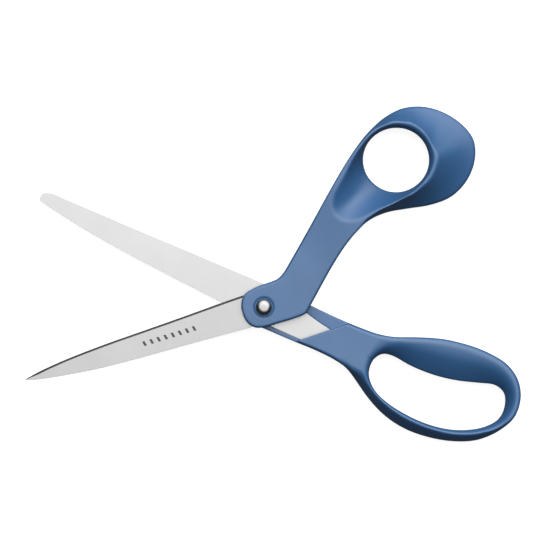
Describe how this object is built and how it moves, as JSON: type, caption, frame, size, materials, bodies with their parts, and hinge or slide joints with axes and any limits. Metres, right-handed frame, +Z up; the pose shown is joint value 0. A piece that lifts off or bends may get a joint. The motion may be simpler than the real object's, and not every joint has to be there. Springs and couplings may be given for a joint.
{
  "type": "office scissors",
  "caption": "Bent-handle office scissors with a round thumb loop, a long finger loop and a domed pivot bolt, lying flat and open.",
  "frame": {"origin": "centre of the pivot nut's flat outer face, on the pivot axis, in the plane that the scissors lie on", "axes": "+X along the middle of the open mouth from the tips to the handles, +Z up along the pivot axis towards the bolt's head"},
  "size_m": [0.201, 0.1349, 0.015],
  "materials": {
    "blue_plastic": "fine satin, moulded",
    "blade_steel": "finely ground stainless steel",
    "bright_steel": "bright turned steel",
    "spring_steel": "plain spring steel"
  },
  "bodies": {
    "finger_half": {"finger_handle": "blue_plastic", "finger_blade": "blade_steel"},
    "thumb_half": {"thumb_handle": "blue_plastic", "thumb_blade": "blade_steel", "pivot_bolt": "bright_steel", "pivot_nut": "bright_steel", "wave_washer": "spring_steel", "flat_washer": "spring_steel"}
  },
  "joints": [
    {"name": "pivot", "type": "hinge", "parent": "finger_half", "child": "thumb_half", "pos_m": [0, 0, 0.0075], "axis": [0, 0, 1], "range_deg": [-42.5, 47.5]}
  ]
}
